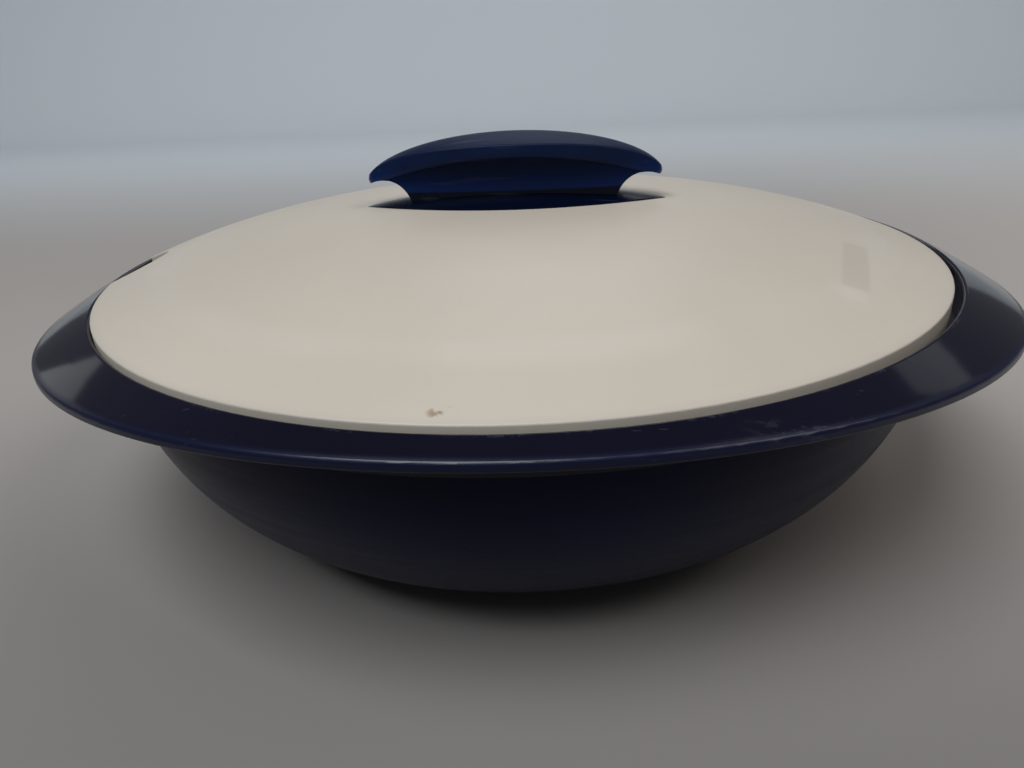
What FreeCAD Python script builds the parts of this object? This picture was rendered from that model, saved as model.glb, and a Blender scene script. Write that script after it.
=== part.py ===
import FreeCAD, Part
import math
import os

from FreeCAD import Vector

# Insulated chapati casserole: a double-walled bowl with two drooping ears, and a loose, domed, double-walled
# lid. Units are millimetres. +X runs along the two ears, +Z is up, and the origin is the centre of the foot
# ring on the table. The lid is round and lies loose in its well: it is drawn turned by lid_turn and pushed
# to one side, lid_rest_gap short of the well's wall.

# ---------------------------------------------------------------- driving dimensions: overall
lid_radius = 130.0            # top edge of the lid
lid_plane = 75.7              # height of the lid's top edge above the table
lid_turn = -1.4               # degrees that the lid lies turned in its well
lid_rest_way = 237.4          # side of the well to which the lid is pushed, in degrees from +X
lid_rest_gap = 0.3            # gap that is left there

# ---------------------------------------------------------------- lid
dome_rise = 17.0              # crown of the lid above its top edge
edge_band = 6.7               # height of the upright band round the lid
edge_round = 0.5
lid_skin = 2.4                # wall of the lid's cover
notch_depth = 12.7            # rounded notch in the lid's edge
notch_radius = 17.0
notch_way = 5.4               # degrees from the knob's long axis to the notch
pan_skin = 2.2                # wall of the lid's inner pan
pan_depth = 8.3               # how far the pan's plug hangs below the lid's edge band
pan_corner = 4.0
plug_gap = 2.4                # open gap round the pan's plug in the bowl's mouth

# ---------------------------------------------------------------- well, flange and ears
lid_gap = 2.0                 # open gap round the lid
seat_gap = 0.3                # running gap where the lid rests on its ledge
lip_drop = 1.25               # the lip of the well lies this far below the lid's top edge
lip_round = 0.8
flange_skin = 2.4
flange_width = 6.6            # from the well's wall to the flange's edge, between the ears
ear_reach = 12.4              # how much further the flange reaches at the tip of an ear
flange_lean = 25.8            # degrees that the flange slopes down where it leaves the lip
flange_slope = 32.0           # degrees that it slopes down at the tip of an ear
flange_overrun = 2.0          # degrees that the curve runs on before the outline trims it
rim_round = 1.0               # upper corner of the flange's rim
rim_under_round = 0.5

# ---------------------------------------------------------------- bowl
ledge_width = 15.0            # ledge that carries the lid
mouth_round = 1.2
inner_skin = 2.4
inner_floor_radius = 48.0
double_wall = 10.2            # both skins and the foam, at the mouth
outer_skin = 2.4
outer_floor_radius = 72.6
foot_height = 3.9
foot_thickness = 4.0
foot_round = 0.8
floor_foam = 9.0              # foam between the two floors
spigot_height = 3.0           # rib under the ledge that locates the outer shell
spigot_thickness = 1.8
fill_hole_radius = 11.0
plug_flange = 3.0             # overhang of the fill plug's head
plug_head = 1.2
plug_stem = 3.6
bond_gap = 0.1                # glue and foam skin between bonded pieces
push_gap = 0.15               # between pieces that push together

# ---------------------------------------------------------------- knob (heights are above the lid's crown)
base_half_length = 49.6       # leaf-shaped foot plate, before its tips are rounded
base_half_width = 17.6
base_tip_round = 1.2
base_crest = 3.9
base_sink = 3.0               # the foot plate's underside lies this far below the crown
base_long_radius = 250.0
base_crown_radius = 35.0
rib_height = 1.5              # low rib on the foot plate that locates the column
seat_margin = 2.5             # border of the thickened seat under the foot plate
column_half_length = 62.0     # leaf outline that the column's sides follow
column_half_width = 8.0
column_waist = 32.8           # half length of the column at its foot
column_skin = 2.2
column_merge = 1.5            # how far the column runs up into the grip
scallop_radius = 9.3          # finger scallop at each end of the column
scallop_top = 8.1
grip_half_length = 52.7       # boat-shaped grip, before its tips are rounded
grip_half_width = 15.6
grip_level = 7.0              # height at which those two hold
grip_draft = 0.1              # inward lean of the grip's flanks
grip_nose = 1.0               # the crest's curve would end this far past the tips
grip_under = 14.3             # underside of the grip at mid length
grip_under_radius = 128.0
grip_thickness = 7.1          # at mid length
grip_tip_thickness = 0.9
grip_crown_radius = 42.0
grip_tip_round = 5.0
grip_crease_round = 0.7
grip_under_round = 2.0
grip_roof = 2.6               # wall left above the hollow of the grip
screw_spacing = 44.0
screw_shank_radius = 1.75
screw_length = 16.0
screw_head_radius = 3.5
screw_head_height = 2.2
screw_head_round = 0.7
screw_clearance = 0.25
thread_gap = 0.05
boss_radius = 3.8

# ---------------------------------------------------------------- construction
overcut = 1.0                 # how far a cutting tool sticks out of what it cuts
overlap = 0.5                 # how far two forms run into each other before they are joined
near = 0.01                   # tolerance for picking edges by their place

# ---------------------------------------------------------------- derived sizes
seat_z = lid_plane - edge_band                       # underside of the lid's edge band
ledge_z = seat_z - seat_gap
lip_z = lid_plane - lip_drop
well_radius = lid_radius + lid_gap
mouth_radius = well_radius - ledge_width
lid_shift = lid_gap - lid_rest_gap
flange_first = math.radians(flange_lean)
flange_last = math.radians(flange_slope)
flange_start = well_radius + lip_round * (1 + math.sin(flange_first))
flange_top_z = lip_z - lip_round * (1 - math.cos(flange_first))
flange_half_width = well_radius + flange_width
flange_half_length = flange_half_width + ear_reach
flange_arc = (flange_half_length - flange_start) / (math.sin(flange_last) - math.sin(flange_first))
outer_mouth_radius = mouth_radius + double_wall
inner_floor_z = foot_height + outer_skin + floor_foam + inner_skin
ledge_under_z = ledge_z - flange_skin
shell_top_z = ledge_under_z - bond_gap
notch_centre = lid_radius - notch_depth + notch_radius
plug_radius = mouth_radius - plug_gap                # the lid's plug in the bowl's mouth
pan_edge_radius = lid_radius - lid_skin - bond_gap
pan_floor_z = seat_z - pan_depth
foam_edge_drop = 0.6 * lid_skin                      # keeps the sloping lid wall as thick as the crown
crown_z = lid_plane + dome_rise
base_seat_z = crown_z - base_sink
pocket_floor_z = base_seat_z - bond_gap
base_crest_z = crown_z + base_crest
grip_crest_z = crown_z + grip_under + grip_thickness
grip_side_radius = (grip_half_length ** 2 + grip_half_width ** 2) / (2 * grip_half_width)
grip_side_centre = grip_side_radius - grip_half_width
grip_tip_centre = math.sqrt((grip_side_radius - grip_tip_round) ** 2 - grip_side_centre ** 2)
grip_crest_half_length = grip_tip_centre + grip_tip_round + grip_nose
grip_under_fall = grip_under_radius - math.sqrt(grip_under_radius ** 2 - grip_crest_half_length ** 2)
grip_arch_rise = grip_thickness - grip_tip_thickness + grip_under_fall
scallop_reach = column_waist + scallop_radius
above = crown_z + 2 * (grip_under + grip_thickness)  # higher than anything on the lid


# ---------------------------------------------------------------- helpers
def at(radius, height):
    """A point of a section, in the XZ plane."""
    return Vector(radius, 0, height)


def line(start, end):
    return Part.LineSegment(start, end).toShape()


def arc(start, middle, end):
    return Part.Arc(start, middle, end).toShape()


def bezier(poles, weights=()):
    curve = Part.BezierCurve()
    curve.setPoles(poles)
    for place, weight in enumerate(weights, 1):
        curve.setWeight(place, weight)
    return curve.toShape()


def revolve(edges):
    """The solid that a closed section sweeps round the vertical axis."""
    face = Part.Face(Part.Wire(edges))
    return face.revolve(Vector(0, 0, 0), Vector(0, 0, 1), 360)


def disc(radius, low, high, x=0.0, y=0.0):
    return Part.makeCylinder(radius, high - low, Vector(x, y, low))


def ring(inner, outer, low, high):
    return disc(outer, low, high).cut(disc(inner, low - overcut, high + overcut))


def edges_where(shape, test):
    """The edges whose middle point passes the test."""
    chosen = []
    for edge in shape.Edges:
        middle = edge.valueAt((edge.FirstParameter + edge.LastParameter) / 2)
        if test(middle):
            chosen.append(edge)
    return chosen


def border(shape, is_member):
    """The edges between the faces that pass the test and the other faces."""
    members = [face for face in shape.Faces if is_member(face)]
    others = [face for face in shape.Faces if not is_member(face)]
    outside = [edge for face in others for edge in face.Edges]
    return [edge for face in members for edge in face.Edges if any(edge.isSame(other) for other in outside)]


def tip_edges(leaf):
    """The two edges in which the sides of a leaf-shaped solid meet."""
    return edges_where(leaf, lambda p: abs(p.y) < near and abs(p.x) > base_half_width)


def is_cylinder(face, radius):
    return face.Surface.TypeId == "Part::GeomCylinder" and abs(face.Surface.Radius - radius) < near


def bowl_blank(rim_radius, floor_radius, rim_z, floor_z):
    """A full bowl: a flat floor, then a quarter ellipse that ends upright at the rim."""
    corner = [at(rim_radius, rim_z), at(rim_radius, floor_z), at(floor_radius, floor_z)]
    return revolve([
        line(at(0, rim_z), corner[0]),
        bezier(corner, (1, math.sqrt(0.5), 1)),
        line(corner[2], at(0, floor_z)),
        line(at(0, floor_z), at(0, rim_z)),
    ])


def dome_blank(edge_radius, edge_z, crown_z, base_z):
    """A full dome that falls with the cube of the radius: flat on top, steeper at the edge."""
    poles = [at(edge_radius * share / 3, crown_z) for share in range(3)]
    poles.append(at(edge_radius, edge_z))
    return revolve([
        bezier(poles),
        line(at(edge_radius, edge_z), at(edge_radius, base_z)),
        line(at(edge_radius, base_z), at(0, base_z)),
        line(at(0, base_z), at(0, crown_z)),
    ])


def tray_blank(radius, low, high, corner):
    """A full disc with its bottom edge rounded."""
    blank = disc(radius, low, high)
    return blank.makeFillet(corner, edges_where(blank, lambda p: p.z < low + near))


def leaf_wire(half_length, half_width, level, grow=0.0):
    """Two arcs that meet in points on the X axis. grow moves both arcs outwards."""
    radius = (half_length ** 2 + half_width ** 2) / (2 * half_width)
    centre = radius - half_width
    tip = math.sqrt((radius + grow) ** 2 - centre ** 2)
    ends = [Vector(-tip, 0, level), Vector(tip, 0, level)]
    far_side = Vector(0, half_width + grow, level)
    near_side = Vector(0, -half_width - grow, level)
    return Part.Wire([arc(ends[0], far_side, ends[1]), arc(ends[1], near_side, ends[0])])


def leaf_prism(half_length, half_width, low, high, grow=0.0):
    return Part.Face(leaf_wire(half_length, half_width, low, grow)).extrude(Vector(0, 0, high - low))


def barrel(half_length, crest_z, rise, crown_radius):
    """A solid turned about an axis along X. Its crest line is half an ellipse of the given rise."""
    axis_z = crest_z - crown_radius
    end_z = crest_z - rise
    left = [at(-half_length, end_z), at(-half_length, crest_z), at(0, crest_z)]
    right = [at(0, crest_z), at(half_length, crest_z), at(half_length, end_z)]
    quarter = (1, math.sqrt(0.5), 1)
    face = Part.Face(Part.Wire([
        bezier(left, quarter),
        bezier(right, quarter),
        line(right[2], at(half_length, axis_z)),
        line(at(half_length, axis_z), at(-half_length, axis_z)),
        line(at(-half_length, axis_z), left[0]),
    ]))
    return face.revolve(at(0, axis_z), Vector(1, 0, 0), 360)


def cross_cylinder(radius, x, z):
    """A long cylinder along Y, with its seam line at the bottom."""
    cylinder = Part.makeCylinder(radius, 2 * lid_radius, Vector(x, -lid_radius, z), Vector(0, 1, 0))
    cylinder.rotate(at(x, z), Vector(0, 1, 0), 180)
    return cylinder


def screw_places():
    return [-screw_spacing / 2, screw_spacing / 2]


def save(shape, name, on_lid=False):
    """Write one node. The lid's pieces are turned and moved together, as the lid lies in its well."""
    solid = shape.removeSplitter()
    if on_lid:
        way = math.radians(lid_rest_way)
        solid = solid.copy()
        solid.rotate(Vector(0, 0, 0), Vector(0, 0, 1), lid_turn)
        solid.translate(Vector(lid_shift * math.cos(way), lid_shift * math.sin(way), 0))
    solid.exportStep("parts/" + name + ".step")


# ---------------------------------------------------------------- the bowl
def outer_shell():
    """The matte bowl: quarter-ellipse wall, flat floor with the foam-filling hole, and a foot ring."""
    outside = bowl_blank(outer_mouth_radius, outer_floor_radius, shell_top_z, foot_height)
    inside = bowl_blank(outer_mouth_radius - outer_skin, outer_floor_radius, shell_top_z,
                        foot_height + outer_skin)
    foot = ring(outer_floor_radius - foot_thickness, outer_floor_radius, 0, foot_height + outer_skin / 2)
    foot = foot.makeFillet(foot_round, edges_where(foot, lambda p: p.z < near))
    hole = disc(fill_hole_radius, 0, foot_height + 2 * outer_skin)
    return outside.fuse(foot).cut(inside).cut(hole)


def flange_section():
    """Section of the ledge, the well's wall, its rounded lip and the flange that falls away from it."""
    last = flange_last + math.radians(flange_overrun)
    wall_outside = well_radius + flange_skin
    under_first = math.asin(math.sin(flange_first) + (wall_outside - flange_start) / flange_arc)

    def on_flange(angle, depth=0.0):
        """The point where the flange slopes down by this angle, or the point this far below it."""
        run = flange_arc * (math.sin(angle) - math.sin(flange_first))
        fall = flange_arc * (math.cos(flange_first) - math.cos(angle))
        return at(flange_start + run, flange_top_z - fall - depth)

    def on_lip(angle):
        return at(well_radius + lip_round * (1 + math.sin(angle)), lip_z - lip_round * (1 - math.cos(angle)))

    wall_top = on_lip(-math.pi / 2)
    under = [on_flange(angle, flange_skin) for angle in (under_first, (under_first + last) / 2, last)]
    return [
        line(at(mouth_radius, ledge_under_z), at(wall_outside, ledge_under_z)),
        line(at(wall_outside, ledge_under_z), under[0]),
        arc(under[0], under[1], under[2]),
        line(under[2], on_flange(last)),
        arc(on_flange(last), on_flange((flange_first + last) / 2), on_flange(flange_first)),
        arc(on_flange(flange_first), on_lip(0), wall_top),
        line(wall_top, at(well_radius, ledge_z)),
        line(at(well_radius, ledge_z), at(mouth_radius, ledge_z)),
        line(at(mouth_radius, ledge_z), at(mouth_radius, ledge_under_z)),
    ]


def flange_outline():
    """The plan of the flange is one ellipse, long across the ears."""
    ellipse = Part.Ellipse(Vector(0, 0, 0), flange_half_length, flange_half_width)
    return Part.Face(Part.Wire(ellipse.toShape())).extrude(Vector(0, 0, lid_plane))


def inner_bowl():
    """Glossy liner, ledge, well, flange and ears in one moulding."""
    flange = revolve(flange_section()).common(flange_outline())
    for radius, upper in ((rim_round, True), (rim_under_round, False)):
        rim = [edge for edge in flange.Edges if edge.BoundBox.YMax > flange_half_width - radius / 2]
        rim.sort(key=lambda edge: edge.CenterOfMass.z)
        flange = flange.makeFillet(radius, [rim[-1] if upper else rim[0]])
    wall = bowl_blank(mouth_radius + inner_skin, inner_floor_radius, ledge_z, inner_floor_z - inner_skin)
    cavity = bowl_blank(mouth_radius, inner_floor_radius, ledge_z, inner_floor_z)
    spigot_outer = outer_mouth_radius - outer_skin - push_gap
    spigot_low = ledge_under_z - spigot_height
    spigot = ring(spigot_outer - spigot_thickness, spigot_outer, spigot_low, ledge_under_z + overlap)
    moulding = flange.fuse(wall).fuse(spigot).cut(cavity).removeSplitter()
    corner = edges_where(moulding, lambda p: abs(p.z - ledge_z) < near and abs(p.x) < mouth_radius + near)
    return moulding.makeFillet(mouth_round, [corner[0]])


def bowl_foam():
    """Insulation between the two bowls."""
    block = bowl_blank(outer_mouth_radius - outer_skin - bond_gap, outer_floor_radius, shell_top_z,
                       foot_height + outer_skin + bond_gap)
    liner = bowl_blank(mouth_radius + inner_skin + bond_gap, inner_floor_radius, ledge_z,
                       inner_floor_z - inner_skin - bond_gap)
    head_room = disc(outer_mouth_radius, ledge_under_z - spigot_height - bond_gap, lid_plane)
    stem_room = disc(fill_hole_radius, 0, foot_height + plug_stem + bond_gap)
    return block.cut(liner).cut(head_room).cut(stem_room)


def fill_plug():
    """Plug that closes the foam-filling hole in the base."""
    head = disc(fill_hole_radius + plug_flange, foot_height - bond_gap - plug_head, foot_height - bond_gap)
    stem = disc(fill_hole_radius - push_gap, foot_height - bond_gap - plug_head, foot_height + plug_stem)
    return head.fuse(stem)


# ---------------------------------------------------------------- the lid
def notch(grow=0.0):
    """The room of the notch in the lid's edge, near its -X side."""
    way = math.radians(180 + notch_way)
    return disc(notch_radius + grow, 0, above, x=notch_centre * math.cos(way), y=notch_centre * math.sin(way))


def base_pocket(grow, low, high):
    """The foot plate's outline as a prism. grow moves its sides outwards."""
    leaf = leaf_prism(base_half_length, base_half_width, low, high, grow)
    return leaf.makeFillet(base_tip_round + grow, tip_edges(leaf))


def lid_cover():
    """The cream dome with its edge band and notch, and the thickened seat of the knob."""
    outside = dome_blank(lid_radius, lid_plane, crown_z, seat_z).cut(notch())
    rim = edges_where(outside, lambda p: p.z > lid_plane - near and math.hypot(p.x, p.y) > lid_radius / 2)
    outside = outside.makeFillet(edge_round, rim)
    inside = dome_blank(lid_radius - lid_skin, lid_plane - foam_edge_drop, crown_z - lid_skin,
                        seat_z - overcut).cut(notch(lid_skin))
    seat = base_pocket(seat_margin, pocket_floor_z - lid_skin, crown_z - lid_skin / 2)
    cover = outside.cut(inside).fuse(seat).cut(base_pocket(push_gap, pocket_floor_z, above))
    for x in screw_places():
        cover = cover.cut(disc(screw_shank_radius + screw_clearance, lid_plane, above, x=x))
    return cover


def lid_pan():
    """The lid's inner skin: a tray that plugs the bowl's mouth, with a rim inside the edge band."""
    plug = tray_blank(plug_radius, pan_floor_z, seat_z + pan_skin, pan_corner)
    rim = disc(pan_edge_radius, seat_z, seat_z + pan_skin)
    hollow = tray_blank(plug_radius - pan_skin, pan_floor_z + pan_skin, lid_plane, pan_corner - pan_skin)
    return plug.fuse(rim).cut(hollow).cut(notch(lid_skin + bond_gap))


def lid_foam():
    """Insulation inside the lid, with room for the knob's seat and screw heads."""
    upper = dome_blank(pan_edge_radius, lid_plane - foam_edge_drop - bond_gap, crown_z - lid_skin - bond_gap,
                       seat_z + pan_skin + bond_gap)
    lower = tray_blank(plug_radius - pan_skin - bond_gap, pan_floor_z + pan_skin + bond_gap,
                       seat_z + 2 * pan_skin, pan_corner - pan_skin)
    foam = upper.fuse(lower).cut(notch(lid_skin + bond_gap))
    foam = foam.cut(base_pocket(seat_margin + bond_gap, pocket_floor_z - lid_skin - bond_gap, above))
    for x in screw_places():
        head_low = pocket_floor_z - lid_skin - screw_head_height - 2 * bond_gap
        foam = foam.cut(disc(screw_head_radius + bond_gap, head_low, above, x=x))
    return foam


# ---------------------------------------------------------------- the knob
def base_swell(grow=0.0):
    """The pillow-shaped top of the foot plate. grow raises it."""
    side = base_half_length + 2 * seat_margin
    rise = base_long_radius - math.sqrt(base_long_radius ** 2 - side ** 2)
    crest = base_crest_z + grow
    section = Part.Face(Part.Wire([
        arc(at(-side, crest - rise), at(0, crest), at(side, crest - rise)),
        line(at(side, crest - rise), at(side, crest - base_crown_radius)),
        line(at(side, crest - base_crown_radius), at(-side, crest - base_crown_radius)),
        line(at(-side, crest - base_crown_radius), at(-side, crest - rise)),
    ]))
    return section.revolve(at(0, crest - base_crown_radius), Vector(1, 0, 0), 360)


def column_prism(grow, low, high):
    return leaf_prism(column_half_length, column_half_width, low, high, grow)


def column_core(grow, low, high):
    """The room inside the column, square at its two ends."""
    half = column_waist - column_skin + grow
    corner = Vector(-half, -2 * column_half_width, low)
    block = Part.makeBox(2 * half, 4 * column_half_width, high - low, corner)
    return column_prism(grow - column_skin, low, high).common(block)


def knob_base():
    """Leaf-shaped foot plate, swollen in the middle, with a low rib that locates the column."""
    plate = base_pocket(0, base_seat_z, above).common(base_swell())
    rib = column_core(-push_gap, base_seat_z, above).common(base_swell(rib_height))
    for x in screw_places():
        rib = rib.cut(disc(boss_radius + push_gap, lid_plane, above, x=x))
    plate = plate.fuse(rib)
    for x in screw_places():
        plate = plate.cut(disc(screw_shank_radius + screw_clearance, lid_plane, above, x=x))
    return plate


def grip_flanks():
    """Two cones that meet in a leaf-shaped plan and lean inwards towards the top."""
    level_z = crown_z + grip_level
    lower_radius = grip_side_radius + grip_draft * (level_z - base_crest_z)
    upper_radius = grip_side_radius - grip_draft * (grip_crest_z - level_z)
    height = grip_crest_z - base_crest_z
    cones = [
        Part.makeCone(lower_radius, upper_radius, height, Vector(0, side * grip_side_centre, base_crest_z))
        for side in (-1, 1)
    ]
    leaf = cones[0].common(cones[1])
    return leaf.makeFillet(grip_tip_round, tip_edges(leaf))


def grip_blank():
    """The boat-shaped grip: leaning leaf-shaped flanks under a crowned, arched top."""
    top = barrel(grip_crest_half_length, grip_crest_z, grip_arch_rise, grip_crown_radius)
    under = cross_cylinder(grip_under_radius, 0, crown_z + grip_under - grip_under_radius)
    boat = grip_flanks().cut(under).common(top)
    crease = border(boat, lambda face: face.Surface.TypeId == "Part::GeomSurfaceOfRevolution")
    boat = boat.makeFillet(grip_crease_round, crease)
    return boat.makeFillet(grip_under_round, border(boat, lambda face: is_cylinder(face, grip_under_radius)))


def knob_grip():
    """Grip and column in one moulding, hollow from below, with two screw bosses."""
    boat = grip_blank()
    column = column_prism(0, base_seat_z, grip_crest_z)
    corner = Vector(-scallop_reach, -2 * column_half_width, base_seat_z)
    block = Part.makeBox(2 * scallop_reach, 4 * column_half_width, grip_crest_z - base_seat_z, corner)
    merged = cross_cylinder(grip_under_radius + column_merge, 0, crown_z + grip_under - grip_under_radius)
    grip = boat.fuse(column.common(block).common(merged))
    scallop_z = crown_z + scallop_top - scallop_radius
    for side in (-1, 1):
        grip = grip.cut(cross_cylinder(scallop_radius, side * scallop_reach, scallop_z))
    roof = barrel(grip_crest_half_length, grip_crest_z - grip_roof, grip_arch_rise, grip_crown_radius)
    core = column_core(0, base_seat_z, above).common(roof)
    for x in screw_places():
        core = core.cut(disc(boss_radius, lid_plane, above, x=x))
    grip = grip.cut(core).cut(base_swell(bond_gap))
    for x in screw_places():
        tip = pocket_floor_z - lid_skin + screw_length + thread_gap
        grip = grip.cut(disc(screw_shank_radius + thread_gap, lid_plane, tip, x=x))
    return grip


def knob_screws():
    """Two pan-head screws, driven up from inside the lid before its pan is bonded on."""
    seat_under = pocket_floor_z - lid_skin
    screws = []
    for x in screw_places():
        head = disc(screw_head_radius, seat_under - bond_gap - screw_head_height, seat_under - bond_gap, x=x)
        lower = edges_where(head, lambda p: p.z < seat_under - screw_head_height)
        head = head.makeFillet(screw_head_round, lower)
        shank = disc(screw_shank_radius, seat_under - 2 * bond_gap, seat_under + screw_length, x=x)
        screws.append(head.fuse(shank).removeSplitter())
    return Part.makeCompound(screws)


# ---------------------------------------------------------------- write the nodes
os.makedirs("parts", exist_ok=True)

save(outer_shell(), "outer_shell")
save(inner_bowl(), "inner_bowl")
save(bowl_foam(), "bowl_foam")
save(fill_plug(), "fill_plug")
save(lid_cover(), "lid_cover", on_lid=True)
save(lid_pan(), "lid_pan", on_lid=True)
save(lid_foam(), "lid_foam", on_lid=True)
save(knob_base(), "knob_base", on_lid=True)
save(knob_grip(), "knob_grip", on_lid=True)
save(knob_screws(), "knob_screws", on_lid=True)
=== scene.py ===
"""Looks of the insulated chapati casserole: the finish of every moulding, the studio and the camera.

Units are metres, in the frame of the construction model: +X runs along the two ears, +Z is up, and the
origin is the centre of the foot ring on the table. Colours are linear shares of red, green and blue.
"""

import math

import bpy
import numpy as np
from mathutils import Matrix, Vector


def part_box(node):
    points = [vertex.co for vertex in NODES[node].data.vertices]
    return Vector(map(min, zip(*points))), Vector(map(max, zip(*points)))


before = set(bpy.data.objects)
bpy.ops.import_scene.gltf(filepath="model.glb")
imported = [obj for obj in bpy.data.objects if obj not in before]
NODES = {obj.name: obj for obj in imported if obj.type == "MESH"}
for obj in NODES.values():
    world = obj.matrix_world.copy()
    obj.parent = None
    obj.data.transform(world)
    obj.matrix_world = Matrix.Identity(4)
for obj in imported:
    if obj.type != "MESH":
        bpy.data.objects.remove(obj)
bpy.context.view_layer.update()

# ---------------------------------------------------------------- places on the object
LID_LOW, LID_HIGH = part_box("lid_cover")
_, BOWL_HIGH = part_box("inner_bowl")
_, GRIP_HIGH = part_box("knob_grip")
LID_RADIUS = (LID_HIGH.y - LID_LOW.y) / 2       # across, because the notch cuts into the length
LID_CENTRE = (LID_HIGH.x - LID_RADIUS, (LID_HIGH.y + LID_LOW.y) / 2)
BOWL_CENTRE = (0, 0)
EAR_REACH = BOWL_HIGH.x
FLANGE_REACH = BOWL_HIGH.y
LIP_TOP = BOWL_HIGH.z
LIP_RADIUS = 0.1328                             # crest of the lip round the well
SINK_RING = 0.1105                              # faint ring in the lid, over the wall of its inner pan
TIDE_RING = 0.098                               # mark of steam under the lid
GRIP_EDGE = GRIP_HIGH.z - 0.0085                # the grained top ends here
COLUMN_HEAD = GRIP_HIGH.z - 0.0145              # the smooth column, painted a brighter blue as painted light, starts here
FOOT_PLATE = LID_HIGH.z + 0.0038                # the foot plate's painted shade ends here
FOOT_CREASE = LID_HIGH.z + 0.0046               # and the column's has taken over here

NOISE_MIDDLE = 0.5                              # a noise runs from nought to one


# ---------------------------------------------------------------- shader maths
class Socket:
    """One output in a finish's node tree. Sums on it add Math nodes."""

    def __init__(self, finish, link):
        self.finish = finish
        self.link = link

    def maths(self, operation, *others, first=None):
        """Any Math node, with this output as its first value, or as its second where first is given."""
        terms = [self, *others] if first is None else [first, self, *others]
        return self.finish.node("Math", dict(enumerate(terms)), operation=operation)

    def __add__(self, other):
        return self.maths("ADD", other)

    def __sub__(self, other):
        return self.maths("SUBTRACT", other)

    def __mul__(self, other):
        return self.maths("MULTIPLY", other)

    def __truediv__(self, other):
        return self.maths("DIVIDE", other)

    def __pow__(self, other):
        return self.maths("POWER", other)

    def __rsub__(self, other):
        return self.maths("SUBTRACT", first=other)

    def __rtruediv__(self, other):
        return self.maths("DIVIDE", first=other)

    __radd__ = __add__
    __rmul__ = __mul__

    def root(self):
        return self.maths("SQRT")

    def size(self):
        """The value without its sign."""
        return self.maths("ABSOLUTE")

    def either(self, other):
        """The stronger of two masks."""
        return self.maths("MAXIMUM", other)

    def swing(self, amount):
        """A noise made to swing about nought, by half the amount each way."""
        return (self - NOISE_MIDDLE) * amount


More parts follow.
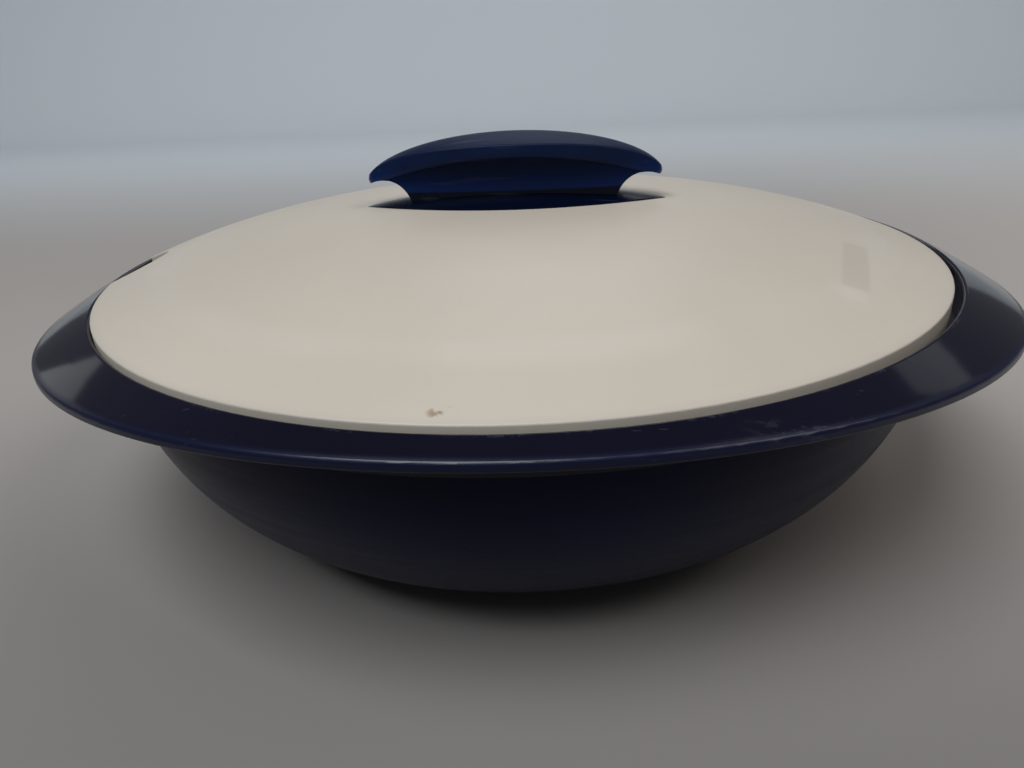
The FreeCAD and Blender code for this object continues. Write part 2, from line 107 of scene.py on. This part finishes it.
class Finish:
    """One material: a Principled surface and the nodes that feed it."""

    def __init__(self, name, **constants):
        self.material = bpy.data.materials.new(name)
        self.material.use_nodes = True
        self.tree = self.material.node_tree
        self.surface = self.tree.nodes["Principled BSDF"]
        for socket, value in constants.items():
            self.surface.inputs[socket.replace("_", " ")].default_value = value
        self.place = self.node("TexCoord", {}, output="Object")
        axes = self.tree.nodes.new("ShaderNodeSeparateXYZ")
        self.tree.links.new(self.place.link, axes.inputs[0])
        self.x, self.y, self.z = [Socket(self, output) for output in axes.outputs]

    def node(self, kind, inputs, output=0, **settings):
        """Add any node: its settings first, then the values or links of its sockets."""
        made = self.tree.nodes.new("ShaderNode" + kind)
        for setting, value in settings.items():
            setattr(made, setting, value)
        for socket, value in inputs.items():
            if isinstance(value, Socket):
                self.tree.links.new(value.link, made.inputs[socket])
            else:
                made.inputs[socket].default_value = value
        return Socket(self, made.outputs[output])

    def feed(self, **values):
        """Link what varies over the surface to the surface's own sockets."""
        for socket, value in values.items():
            self.tree.links.new(value.link, self.surface.inputs[socket.replace("_", " ")])

    def away_from(self, centre):
        """Distance from an upright axis."""
        return ((self.x - centre[0]) ** 2 + (self.y - centre[1]) ** 2).root()

    def stretched(self, scale, way=0.0, shift=(0, 0, 0)):
        """Object coordinates, stretched by three factors, turned in plan by way (radians) and shifted."""
        inputs = {"Vector": self.place, "Location": shift, "Rotation": (0, 0, way), "Scale": scale}
        return self.node("Mapping", inputs, vector_type="POINT")

    def noise(self, scale, detail=2.0, roughness=0.5, where=None):
        """Smooth noise about its middle, with that many bumps to the metre."""
        inputs = {"Vector": where or self.place, "Scale": scale, "Detail": detail, "Roughness": roughness}
        return self.node("TexNoise", inputs)

    def cells(self, scale):
        """Distance to the nearest of scattered points, with that many to the metre."""
        inputs = {"Vector": self.place, "Scale": scale}
        return self.node("TexVoronoi", inputs, output="Distance", feature="F1")

    def rise(self, value, low, high, start=0.0, end=1.0):
        """Goes smoothly from start, where value is low, to end, where it is high."""
        inputs = {"Value": value, "From Min": low, "From Max": high, "To Min": start, "To Max": end}
        return self.node("MapRange", inputs, interpolation_type="SMOOTHSTEP")

    def fall(self, value, low, high):
        """Goes smoothly from one, where value is low, to nought, where it is high."""
        return self.rise(value, low, high, 1.0, 0.0)

    def patches(self, scale, low, high, **noise):
        """Scattered patches: nought where a noise is low, one where it is high."""
        return self.rise(self.noise(scale, **noise), low, high)

    def dots(self, scale, core, edge):
        """Scattered dots: one in the core of each, nought from its edge out, both as shares of a cell."""
        return self.fall(self.cells(scale), core, edge)

    def band(self, value, centre, half_width, softness):
        """One within half_width of centre, falling to nought over softness."""
        return self.fall((value - centre).size(), half_width, half_width + softness)

    def spot(self, centre, half_x, half_y):
        """A soft oval patch at a place in plan."""
        core, edge = 0.2, 1.0
        distance = ((self.x - centre[0]) / half_x) ** 2 + ((self.y - centre[1]) / half_y) ** 2
        return self.fall(distance, core, edge)

    def strip(self, centre, way, half_long, half_wide, softness):
        """A strip at a place in plan, long in the direction way (radians), with crisp edges."""
        x, y = centre
        along = (self.x - x) * math.cos(way) + (self.y - y) * math.sin(way)
        across = (self.y - y) * math.cos(way) - (self.x - x) * math.sin(way)
        return self.band(along, 0.0, half_long, softness) * self.band(across, 0.0, half_wide, softness)

    def mix(self, factor, first, second):
        """A colour between two colours."""
        colours = [value if isinstance(value, Socket) else (*value, 1) for value in (first, second)]
        inputs = {0: factor, 6: colours[0], 7: colours[1]}
        return self.node("Mix", inputs, output=2, data_type="RGBA", blend_type="MIX")

    def bump(self, height, depth, normal=None):
        """A normal from a height field. depth is what a height of one stands for, in metres."""
        inputs = {"Height": height, "Distance": depth, "Strength": 1.0}
        if normal:
            inputs["Normal"] = normal
        return self.node("Bump", inputs)

    def scratches(self, scale, rarity, way, seed):
        """Few short hairlines, all nearly one way: the highest crests of a noise drawn out along X."""
        drawn_out = (0.045, 1.0, 1.0)
        crest_width = 0.06
        field = self.stretched(drawn_out, way, (seed, seed * 0.7, 0))
        bent = self.node("VectorMath", {0: field, 1: self.wander(6.0, 0.004)}, operation="ADD")
        return self.rise(self.noise(scale, 0.0, where=bent), rarity, rarity + crest_width)

    def wander(self, scale, reach):
        """A small wandering offset."""
        inputs = {"Vector": self.place, "Scale": scale, "Detail": 2.0}
        colour = self.node("TexNoise", inputs, output=1)
        centred = self.node("VectorMath", {0: colour, 1: (NOISE_MIDDLE,) * 3}, operation="SUBTRACT")
        return self.node("VectorMath", {0: centred, "Scale": reach}, operation="SCALE")


# ---------------------------------------------------------------- finishes
def shell_navy():
    """Spark-eroded matte navy: a fine grain, faint turning rings, dust, and rubbed patches near the foot."""
    deep, light = (0.0022, 0.0038, 0.0250), (0.0032, 0.0056, 0.0330)
    dust_grey, rubbed_blue = (0.10, 0.11, 0.13), (0.035, 0.040, 0.070)
    rubbed_below, clean_above = 0.002, 0.014
    grain_depth, ring_depth = 0.00005, 0.00012
    finish = Finish("shell_navy", Specular_IOR_Level=0.15)
    grain = finish.noise(1500, 3.0, 0.6)
    cloud = finish.noise(22, 4.0, 0.55)
    rings = finish.noise(210, 1.0, where=finish.stretched((0.02, 0.02, 1.0)))
    dust = finish.dots(520, 0.06, 0.10) * finish.patches(60, 0.58, 0.72)
    rubbed = finish.fall(finish.z, rubbed_below, clean_above) * finish.patches(90, 0.45, 0.7, detail=4.0)
    colour = finish.mix(finish.rise(cloud, 0.35, 0.7), deep, light)
    colour = finish.mix(dust * 0.12, colour, dust_grey)
    colour = finish.mix(rubbed * 0.30, colour, rubbed_blue)
    roughness = 0.36 + grain.swing(0.10) + rings.swing(0.22) + cloud.swing(0.08) - rubbed * 0.08
    finish.feed(Base_Color=colour, Roughness=roughness)
    finish.feed(Normal=finish.bump(grain, grain_depth, finish.bump(rings, ring_depth)))
    return finish.material


def liner_navy():
    """Polished navy: deep colour, a few hairlines, a duller rim painted bluer as a painted highlight, a
    rubbed lip and small scuffs.
    """
    deep, light = (0.0036, 0.0032, 0.0110), (0.0054, 0.0044, 0.0155)
    rim_highlight_blue, mark_grey = (0.0012, 0.0040, 0.0260), (0.20, 0.23, 0.30)
    rim_start, rim_full = 0.986, 0.997              # shares of the flange's outline
    lip_half_width, lip_softness = 0.0003, 0.0005
    lip_foot, lip_head = LIP_TOP - 0.0015, LIP_TOP - 0.0003
    near_scuff, right_scuff, far_scuff = (0.058, -0.1285), (0.140, -0.044), (-0.060, 0.131)
    swim_depth = 0.00005
    finish = Finish("liner_navy", IOR=1.47)
    cloud = finish.noise(14, 3.0)
    outline = ((finish.x / EAR_REACH) ** 2 + (finish.y / FLANGE_REACH) ** 2).root()
    rim = finish.rise(outline, rim_start, rim_full)
    lip = finish.band(finish.away_from(BOWL_CENTRE), LIP_RADIUS, lip_half_width, lip_softness)
    lip = lip * finish.rise(finish.z, lip_foot, lip_head)
    rubbed = finish.patches(70, 0.50, 0.62, detail=3.0, roughness=0.6) * finish.patches(800, 0.45, 0.62)
    lines = finish.scratches(1700, 0.82, 0.5, 0.13).either(finish.scratches(1500, 0.83, -0.9, 0.41))
    scuffs = finish.spot(near_scuff, 0.0150, 0.0035).either(finish.spot(right_scuff, 0.006, 0.010))
    scuffs = scuffs.either(finish.spot(far_scuff, 0.012, 0.004))
    streaks = finish.stretched((0.35, 1.0, 1.0))
    scuffs = scuffs * finish.patches(650, 0.52, 0.60, detail=4.0, roughness=0.6, where=streaks)
    marks = (lines * 0.22).either((lip * rubbed * 0.25).either(scuffs * 0.16))
    colour = finish.mix(finish.rise(cloud, 0.3, 0.7), deep, light)
    # painted highlight: the rim's outer strip is painted a brighter blue for the light it catches
    colour = finish.mix(rim * 0.8, colour, rim_highlight_blue)
    colour = finish.mix(marks * 0.30, colour, mark_grey)
    roughness = 0.09 + finish.noise(40, 3.0).swing(0.04) + marks * 0.30 + rim * 0.22
    swim = finish.bump(finish.noise(38, 1.0), swim_depth)
    finish.feed(Base_Color=colour, Roughness=roughness, Normal=swim)
    return finish.material


def lid_cream():
    """Fine-grained cream: a faint sink ring with a painted sheen along it, flow lines, specks, a greyer edge,
    a darker grey strip, a worn spot and a stain.
    """
    deep, light = (0.572, 0.509, 0.434), (0.600, 0.535, 0.458)
    weave_pale, flow_dark, ring_sheen_pale = (0.640, 0.574, 0.494), (0.520, 0.455, 0.380), (0.740, 0.690, 0.612)
    edge_grey, speck_brown, stain_brown = (0.470, 0.440, 0.390), (0.260, 0.210, 0.165), (0.260, 0.155, 0.080)
    strip_grey, rubbed_pale = (0.370, 0.330, 0.280), (0.700, 0.660, 0.600)
    edge_start, edge_full = LID_RADIUS - 0.0022, LID_RADIUS - 0.0002
    ring_half_width, ring_softness = 0.0012, 0.0060
    stain_place, strip_place, rubbed_place = (-0.0112, -0.1279), (0.0895, -0.0580), (0.0800, -0.0795)
    strip_way, strip_half_long, strip_half_wide, strip_softness = math.radians(71), 0.0170, 0.0026, 0.0014
    grain_depth, flow_depth, ring_depth = 0.00003, 0.00005, 0.00003
    finish = Finish("lid_cream", Specular_IOR_Level=0.4)
    radius = finish.away_from(LID_CENTRE)
    grain = finish.noise(1300, 3.0, 0.6)
    cloud = finish.noise(16, 5.0)
    weave = finish.noise(420)
    flow = finish.noise(70, where=finish.stretched((0.15, 1.0, 1.0), 0.2))
    specks = finish.dots(150, 0.030, 0.055) * finish.patches(33, 0.57, 0.63)
    edge = finish.rise(radius, edge_start, edge_full)
    ring = finish.band(radius, SINK_RING, ring_half_width, ring_softness)
    ring = ring * finish.patches(17, 0.36, 0.58, detail=1.0)
    stain = finish.spot(stain_place, 0.0036, 0.0018) * finish.patches(420, 0.47, 0.60, detail=4.0)
    grey_strip = finish.strip(strip_place, strip_way, strip_half_long, strip_half_wide, strip_softness)
    rubbed = finish.spot(rubbed_place, 0.0060, 0.0060) * finish.patches(90, 0.35, 0.55)
    colour = finish.mix(finish.rise(cloud, 0.3, 0.7), deep, light)
    colour = finish.mix((weave - 0.4) * 0.30, colour, weave_pale)
    colour = finish.mix(flow * 0.10, colour, flow_dark)
    # painted sheen: the sink ring is painted paler in patches, as if catching the light
    colour = finish.mix(ring * 0.14, colour, ring_sheen_pale)
    colour = finish.mix(edge * 0.25, colour, edge_grey)
    colour = finish.mix(specks * 0.50, colour, speck_brown)
    colour = finish.mix(stain * 0.70, colour, stain_brown)
    # a darker, glossier grey strip across the sink ring at the right front
    colour = finish.mix(grey_strip * 0.20, colour, strip_grey)
    colour = finish.mix(rubbed * 0.25, colour, rubbed_pale)
    roughness = 0.44 + grain.swing(0.12) - ring * 0.08 + cloud.swing(0.06) - grey_strip * 0.06
    relief = finish.bump(flow, flow_depth, finish.bump(ring, ring_depth))
    finish.feed(Base_Color=colour, Roughness=roughness, Normal=finish.bump(grain, grain_depth, relief))
    return finish.material


def pan_cream():
    """The lid's smooth inner tray: clean gloss, with light knife-fine marks and a faint tide line."""
    deep, light = (0.600, 0.548, 0.478), (0.630, 0.578, 0.505)
    tide_brown, line_grey = (0.480, 0.420, 0.330), (0.420, 0.390, 0.350)
    tide_half_width, tide_softness = 0.0006, 0.0022
    swim_depth = 0.00005
    finish = Finish("pan_cream", IOR=1.49)
    cloud = finish.noise(18, 4.0)
    lines = finish.scratches(480, 0.73, 0.3, 0.77)
    tide = finish.band(finish.away_from(LID_CENTRE), TIDE_RING, tide_half_width, tide_softness)
    tide = tide * finish.patches(30, 0.45, 0.6)
    colour = finish.mix(finish.rise(cloud, 0.3, 0.7), deep, light)
    colour = finish.mix(tide * 0.25, colour, tide_brown)
    colour = finish.mix(lines * 0.20, colour, line_grey)
    roughness = 0.22 + cloud.swing(0.08) + lines * 0.25
    swim = finish.bump(finish.noise(60, 1.0), swim_depth)
    finish.feed(Base_Color=colour, Roughness=roughness, Normal=swim)
    return finish.material


def knob_navy():
    """Satin navy: a grained, dusty top, a smooth column painted a brighter blue for the light it shows, a
    foot plate painted darker for the shade under the grip, and a few hairlines.
    """
    deep, light = (0.0030, 0.0090, 0.0370), (0.0042, 0.0118, 0.0460)
    column_lit_blue, foot_shade_navy = (0.0020, 0.0170, 0.1000), (0.0014, 0.0034, 0.0120)
    dust_grey, line_grey = (0.14, 0.15, 0.17), (0.06, 0.07, 0.12)
    grain_depth = 0.00004
    finish = Finish("knob_navy", Specular_IOR_Level=0.12)
    grain = finish.noise(1600, 3.0, 0.6)
    cloud = finish.noise(35, 4.0)
    column = finish.fall(finish.z, COLUMN_HEAD, GRIP_EDGE)
    foot_shade = finish.fall(finish.z, FOOT_PLATE, FOOT_CREASE)
    dust = finish.dots(480, 0.05, 0.09) * finish.patches(70, 0.58, 0.70)
    lines = finish.scratches(620, 0.73, 0.1, 0.29)
    colour = finish.mix(finish.rise(cloud, 0.35, 0.7), deep, light)
    # painted light: the column is painted a brighter blue than the grip, for the bluish light it shows
    colour = finish.mix(column * 0.9, colour, column_lit_blue)
    # painted shade: the foot plate, under the grip's overhang, is painted darker
    colour = finish.mix(foot_shade, colour, foot_shade_navy)
    colour = finish.mix(dust * 0.15, colour, dust_grey)
    colour = finish.mix(lines * 0.15, colour, line_grey)
    roughness = 0.44 + grain.swing(0.10) - column * 0.22 + cloud.swing(0.08) - lines * 0.10
    finish.feed(Base_Color=colour, Roughness=roughness, Normal=finish.bump(grain, grain_depth))
    return finish.material


def foam():
    """Cream-yellow rigid foam with open pores."""
    pore_brown, foam_cream = (0.58, 0.47, 0.27), (0.78, 0.68, 0.44)
    pore_depth = 0.0004
    finish = Finish("foam")
    pores = finish.cells(700)
    colour = finish.mix(finish.rise(pores, 0.1, 0.5), pore_brown, foam_cream)
    roughness = 0.85 + finish.noise(90).swing(0.1)
    finish.feed(Base_Color=colour, Roughness=roughness, Normal=finish.bump(pores, pore_depth))
    return finish.material


def screw_steel():
    """Zinc-plated steel with fine upright brushing marks."""
    dark, bright = (0.52, 0.52, 0.54), (0.70, 0.70, 0.72)
    mark_depth = 0.00003
    finish = Finish("screw_steel", Metallic=1.0)
    marks = finish.noise(900, where=finish.stretched((1.0, 1.0, 0.1)))
    colour = finish.mix(marks, dark, bright)
    roughness = 0.28 + marks.swing(0.2)
    finish.feed(Base_Color=colour, Roughness=roughness, Normal=finish.bump(marks, mark_depth))
    return finish.material


# ---------------------------------------------------------------- dress the nodes
def dress(material, *names):
    """Give the nodes one material, in every slot."""
    for name in names:
        for slot in NODES[name].material_slots:
            slot.material = material


dress(shell_navy(), "outer_shell", "fill_plug")
dress(liner_navy(), "inner_bowl")
dress(lid_cream(), "lid_cover")
dress(pan_cream(), "lid_pan")
dress(knob_navy(), "knob_base", "knob_grip")
dress(foam(), "bowl_foam", "lid_foam")
dress(screw_steel(), "knob_screws")


# ---------------------------------------------------------------- studio
def grid_piece(name, points):
    """A mesh from a grid of points, rows by columns by three, joined by quads."""
    rows, columns = points.shape[:2]
    index = np.arange(rows * columns).reshape(rows, columns)
    corners = [index[:-1, :-1], index[:-1, 1:], index[1:, 1:], index[1:, :-1]]
    quads = np.stack([corner.ravel() for corner in corners], axis=1)
    mesh = bpy.data.meshes.new(name)
    mesh.from_pydata(points.reshape(-1, 3).tolist(), [], quads.tolist())
    mesh.polygons.foreach_set("use_smooth", np.ones(len(quads), dtype=bool))
    piece = bpy.data.objects.new(name, mesh)
    bpy.context.scene.collection.objects.link(piece)
    return piece


def floor_sheet():
    """A pale floor: level and wide, then swept up in a quarter circle to a low wall, to which it narrows."""
    half_width, near_end, middle = 3.0, -2.5, 0.0
    sweep_start, sweep_radius, wall_top = 1.2, 0.3, 0.45
    narrowing_start, wall_share = sweep_start - 0.3, 0.46
    columns, sweep_rows = 61, 25
    across = np.linspace(-half_width, half_width, columns)
    bend = np.radians(np.linspace(0, 90, sweep_rows))
    sweep_depth = sweep_start + sweep_radius * np.sin(bend)
    sweep_height = sweep_radius - sweep_radius * np.cos(bend)
    depth = np.concatenate([[near_end, middle, narrowing_start], sweep_depth, [sweep_start + sweep_radius]])
    height = np.concatenate([np.zeros(3), sweep_height, [wall_top]])
    narrowing = np.interp(depth, [narrowing_start, sweep_start], [1.0, wall_share])
    points = np.zeros((len(depth), len(across), 3))
    points[..., 0] = narrowing[:, None] * across
    points[..., 1] = depth[:, None]
    points[..., 2] = height[:, None]
    return grid_piece("studio_floor", points)


def floor_finish():
    """Plain paper: a warm grey floor with painted shade darkening it towards the front and painted light
    making it paler to the right, and paler and cooler towards the wall.
    """
    near_shade_grey, far_grey = (0.140, 0.135, 0.130), (0.400, 0.366, 0.346)
    right_light_pale, wall_pale = (0.560, 0.520, 0.492), (0.730, 0.775, 0.815)
    finish = Finish("studio_floor", Roughness=0.85, Specular_IOR_Level=0.15)
    # painted shade: the floor is painted darker towards the front
    colour = finish.mix(finish.rise(finish.y, -0.32, 0.12), near_shade_grey, far_grey)
    # painted light: the floor is painted paler to the right
    colour = finish.mix(finish.rise(finish.x, 0.10, 0.60), colour, right_light_pale)
    colour = finish.mix(finish.rise(finish.y, 0.25, 1.00), colour, wall_pale)
    finish.feed(Base_Color=colour)
    return finish.material


floor = floor_sheet()
floor.data.materials.append(floor_finish())


def soft_light(name, place, aim, width, height, power, colour):
    """A rectangular soft box that faces a point."""
    lamp = bpy.data.lights.new(name, "AREA")
    lamp.shape = "RECTANGLE"
    lamp.size = width
    lamp.size_y = height
    lamp.energy = power
    lamp.color = colour
    holder = bpy.data.objects.new(name, lamp)
    direction = np.subtract(aim, place)
    yaw = math.atan2(direction[0], direction[1])
    pitch = math.atan2(direction[2], math.hypot(direction[0], direction[1]))
    turn = Matrix.Rotation(-yaw, 4, "Z") @ Matrix.Rotation(math.pi / 2 + pitch, 4, "X")
    holder.matrix_world = Matrix.Translation(place) @ turn
    bpy.context.scene.collection.objects.link(holder)


soft_light("window", place=(-0.48, -0.82, 1.75), aim=(0, 0, 0.06),
           width=1.3, height=1.1, power=30.0, colour=(0.92, 0.965, 1.0))
soft_light("room_fill", place=(1.10, -0.35, 1.45), aim=(0, 0, 0.05),
           width=0.9, height=0.9, power=7.0, colour=(1.0, 0.96, 0.91))
soft_light("back_sky", place=(0.10, 2.10, 1.75), aim=(0, 0, 0.08),
           width=1.2, height=1.3, power=4.5, colour=(0.93, 0.97, 1.0))
soft_light("side_left", place=(-1.70, 0.95, 0.48), aim=(-0.12, 0, 0.06),
           width=0.40, height=0.50, power=0.24, colour=(0.97, 0.98, 1.0))
soft_light("side_right", place=(1.45, 0.95, 1.02), aim=(0.12, 0, 0.06),
           width=0.45, height=0.35, power=0.15, colour=(0.93, 0.97, 1.0))

AIR_COLOUR = (0.92, 0.96, 1.0)
AIR_STRENGTH = 0.09

world = bpy.data.worlds.new("studio_air")
world.use_nodes = True
air = world.node_tree.nodes["Background"]
air.inputs["Color"].default_value = (*AIR_COLOUR, 1)
air.inputs["Strength"].default_value = AIR_STRENGTH
bpy.context.scene.world = world
bpy.context.scene.view_settings.view_transform = "Standard"

# ---------------------------------------------------------------- camera
CAMERA_PLACE = (0.00921, -0.25693, 0.13954)
CAMERA_HEADING = math.radians(3.1)
CAMERA_DIP = math.radians(23.88)
CAMERA_ROLL = math.radians(-2.67)
SENSOR_WIDTH = 36.0
FOCAL_LENGTH = 27.04
NEAREST_SEEN = 0.01

camera_data = bpy.data.cameras.new("camera")
camera_data.sensor_width = SENSOR_WIDTH
camera_data.lens = FOCAL_LENGTH
camera_data.clip_start = NEAREST_SEEN
camera = bpy.data.objects.new("camera", camera_data)
heading = Matrix.Rotation(CAMERA_HEADING, 4, "Z")
dip = Matrix.Rotation(math.pi / 2 - CAMERA_DIP, 4, "X")
roll = Matrix.Rotation(CAMERA_ROLL, 4, "Z")
camera.matrix_world = Matrix.Translation(CAMERA_PLACE) @ heading @ dip @ roll
bpy.context.scene.collection.objects.link(camera)
bpy.context.scene.camera = camera
